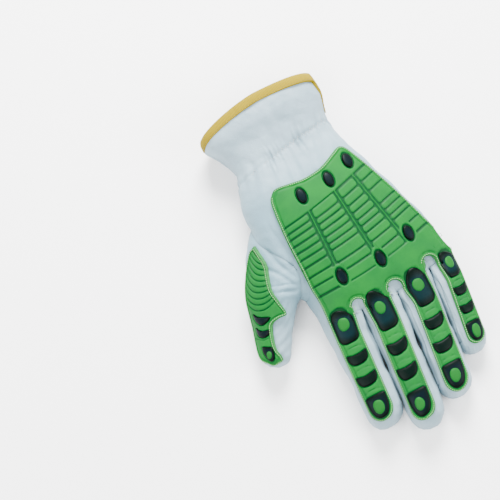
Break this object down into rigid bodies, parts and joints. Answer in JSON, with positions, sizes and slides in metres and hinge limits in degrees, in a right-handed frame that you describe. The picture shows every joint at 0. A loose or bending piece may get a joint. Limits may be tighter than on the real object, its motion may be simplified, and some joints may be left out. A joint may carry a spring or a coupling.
{
  "type": "leather impact work glove",
  "caption": "Left-hand leather work glove lying palm down, with moulded impact guards on the hand, fingers and thumb and a taped cuff that is open to put the hand in.",
  "frame": {"origin": "on the flat of the palm, on the surface that the glove lies on, under the middle of the hand", "axes": "+Y from the cuff to the fingertips, +X to the thumb side, +Z out of the back of the hand"},
  "size_m": [0.1504, 0.2542, 0.0423],
  "materials": {
    "leather": "matt grain",
    "guard": "satin moulded",
    "inlay": "satin moulded",
    "binding": "woven tape"
  },
  "bodies": {
    "root": {"back_leather": "leather", "palm_leather": "leather", "middle_finger_front": "leather", "ring_finger_front": "leather", "fourchette_index_middle": "leather", "fourchette_middle_ring": "leather", "fourchette_ring_little": "leather", "thumb_leather": "leather", "thumb_patch": "leather", "cuff_binding": "binding", "back_guard": "guard", "thumb_guard": "guard", "index_button_base": "guard", "index_button_tip": "guard", "middle_button_base": "guard", "middle_button_tip": "guard", "ring_button_base": "guard", "ring_button_tip": "guard", "little_button_base": "guard", "little_button_tip": "guard", "thumb_button": "guard", "oval_inlay_1": "inlay", "oval_inlay_2": "inlay", "oval_inlay_3": "inlay", "oval_inlay_4": "inlay", "oval_inlay_5": "inlay", "oval_inlay_6": "inlay", "index_pad_1": "inlay", "index_pad_2": "inlay", "index_pad_3": "inlay", "index_pad_4": "inlay", "middle_pad_1": "inlay", "middle_pad_2": "inlay", "middle_pad_3": "inlay", "middle_pad_4": "inlay", "ring_pad_1": "inlay", "ring_pad_2": "inlay", "ring_pad_3": "inlay", "ring_pad_4": "inlay", "little_pad_1": "inlay", "little_pad_2": "inlay", "little_pad_3": "inlay", "little_pad_4": "inlay", "thumb_pad_1": "inlay", "thumb_pad_2": "inlay", "thumb_pad_3": "inlay"}
  },
  "joints": []
}
